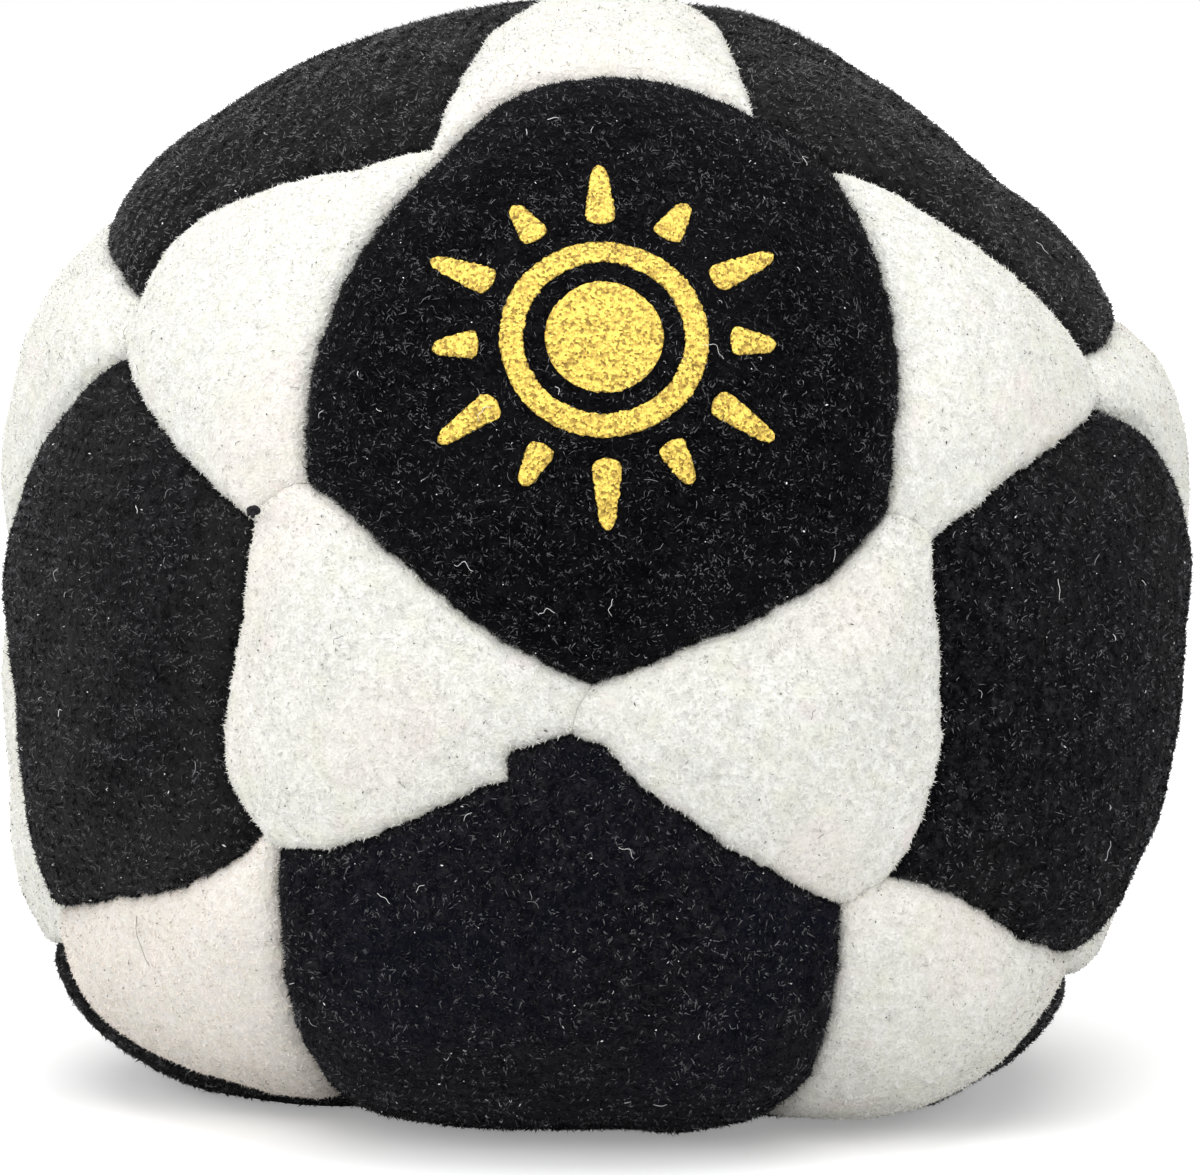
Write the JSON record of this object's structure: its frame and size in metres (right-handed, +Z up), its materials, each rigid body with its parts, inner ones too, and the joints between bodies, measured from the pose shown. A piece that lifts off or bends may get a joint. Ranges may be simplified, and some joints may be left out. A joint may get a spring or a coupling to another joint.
{
  "type": "footbag",
  "caption": "Pellet-filled kick bag of sewn suede panels, dark pentagons and pale triangles, slumped on a flat base.",
  "frame": {"origin": "on the floor under the middle of the bag, at the middle of its base", "axes": "+Z up, -Y towards the front pentagon, +X to the right of someone who looks at it"},
  "size_m": [0.0564, 0.0558, 0.0517],
  "materials": {
    "dark_suede": "matte napped suede, near black",
    "pale_suede": "matte napped suede, warm white",
    "thread": "twisted sewing thread, dark",
    "pellets": "loose plastic pellets"
  },
  "bodies": {
    "root": {"back_left_pentagon": "dark_suede", "back_left_seam_thread": "thread", "back_lower_left_triangle": "pale_suede", "back_lower_right_triangle": "pale_suede", "back_middle_left_triangle": "pale_suede", "back_middle_right_triangle": "pale_suede", "back_right_pentagon": "dark_suede", "back_right_seam_thread": "thread", "back_upper_left_triangle": "pale_suede", "back_upper_right_triangle": "pale_suede", "bottom_back_triangle": "pale_suede", "bottom_front_triangle": "pale_suede", "bottom_left_pentagon": "dark_suede", "bottom_left_seam_thread": "thread", "bottom_right_pentagon": "dark_suede", "bottom_right_seam_thread": "thread", "closing_knot": "thread", "front_lower_left_triangle": "pale_suede", "front_lower_right_triangle": "pale_suede", "front_pentagon": "dark_suede", "front_seam_thread": "thread", "front_upper_left_triangle": "pale_suede", "front_upper_right_triangle": "pale_suede", "left_pentagon": "dark_suede", "left_seam_thread": "thread", "left_side_lower_triangle": "pale_suede", "left_side_upper_triangle": "pale_suede", "low_left_triangle": "pale_suede", "low_right_triangle": "pale_suede", "lower_back_pentagon": "dark_suede", "lower_back_seam_thread": "thread", "lower_front_pentagon": "dark_suede", "lower_front_seam_thread": "thread", "pellet_fill": "pellets", "right_pentagon": "dark_suede", "right_seam_thread": "thread", "right_side_lower_triangle": "pale_suede", "right_side_upper_triangle": "pale_suede", "top_back_triangle": "pale_suede", "top_front_triangle": "pale_suede", "top_left_pentagon": "dark_suede", "top_left_seam_thread": "thread", "top_right_pentagon": "dark_suede", "top_right_seam_thread": "thread", "upper_back_pentagon": "dark_suede", "upper_back_seam_thread": "thread"}
  },
  "joints": []
}
